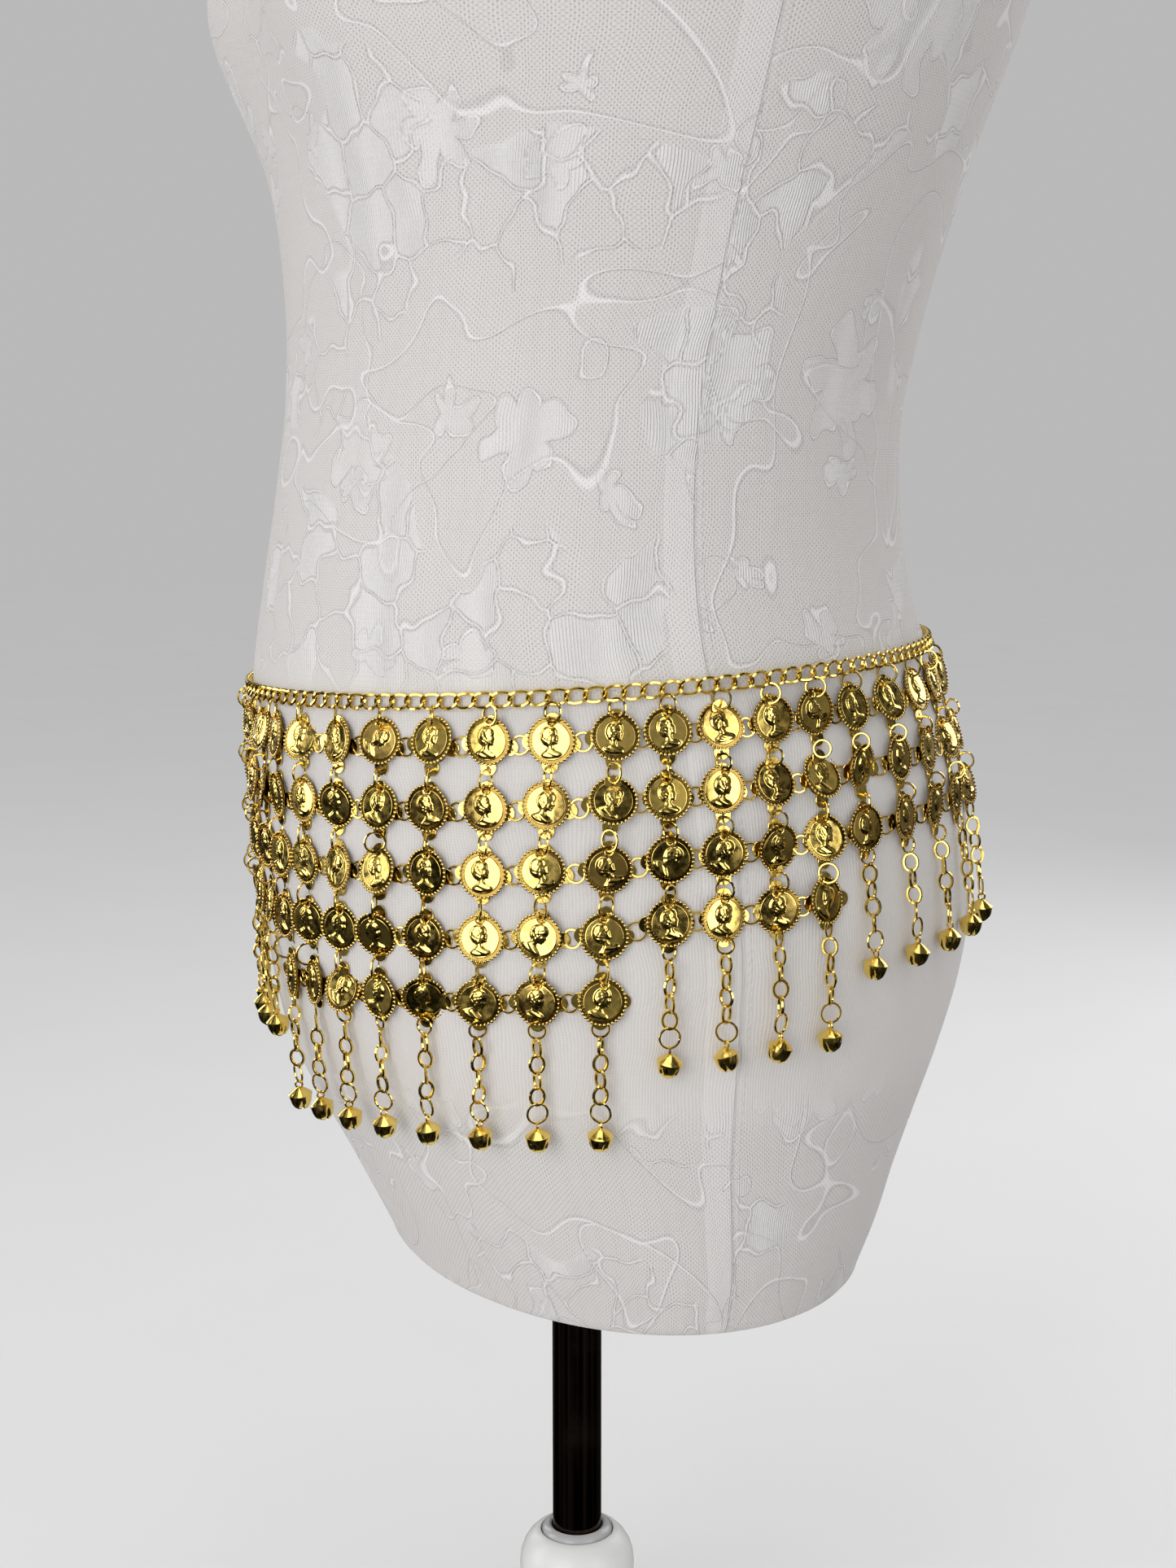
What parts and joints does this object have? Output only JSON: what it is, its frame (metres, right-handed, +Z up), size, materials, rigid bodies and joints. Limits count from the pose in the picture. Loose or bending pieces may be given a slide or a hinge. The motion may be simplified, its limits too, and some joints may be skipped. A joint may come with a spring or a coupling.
{
  "type": "coin waist chain on a dress form",
  "caption": "Gold waist chain with a net of hanging coins, short chain dangles and jingle bells, worn by a limbless lace-covered dress form on a pole stand.",
  "frame": {"origin": "on the floor under the stand's pole, at the middle of the underside of the base plate", "axes": "+Z up, the form faces -Y, and its left side is +X"},
  "size_m": [0.3398, 0.32, 0.9493],
  "materials": {
    "gold": "polished gold-coloured plating",
    "lace_cloth": "off-white stretch lace over fine knit",
    "dark_metal": "polished black nickel",
    "white_plastic": "smooth white"
  },
  "bodies": {
    "root": {"form_torso": "lace_cloth", "form_neck_cap": "white_plastic", "stand_base": "white_plastic", "stand_hub": "white_plastic", "stand_pole": "dark_metal", "waist_chain": "gold", "clasp": "gold", "column_01": "gold", "column_02": "gold", "column_03": "gold", "column_04": "gold", "column_05": "gold", "column_06": "gold", "column_07": "gold", "column_08": "gold", "column_09": "gold", "column_10": "gold", "column_11": "gold", "column_12": "gold", "column_13": "gold", "column_14": "gold", "column_15": "gold", "column_16": "gold", "column_17": "gold", "column_18": "gold", "column_19": "gold", "column_20": "gold", "column_21": "gold", "column_22": "gold", "column_23": "gold", "column_24": "gold", "column_25": "gold", "column_26": "gold"}
  },
  "joints": []
}
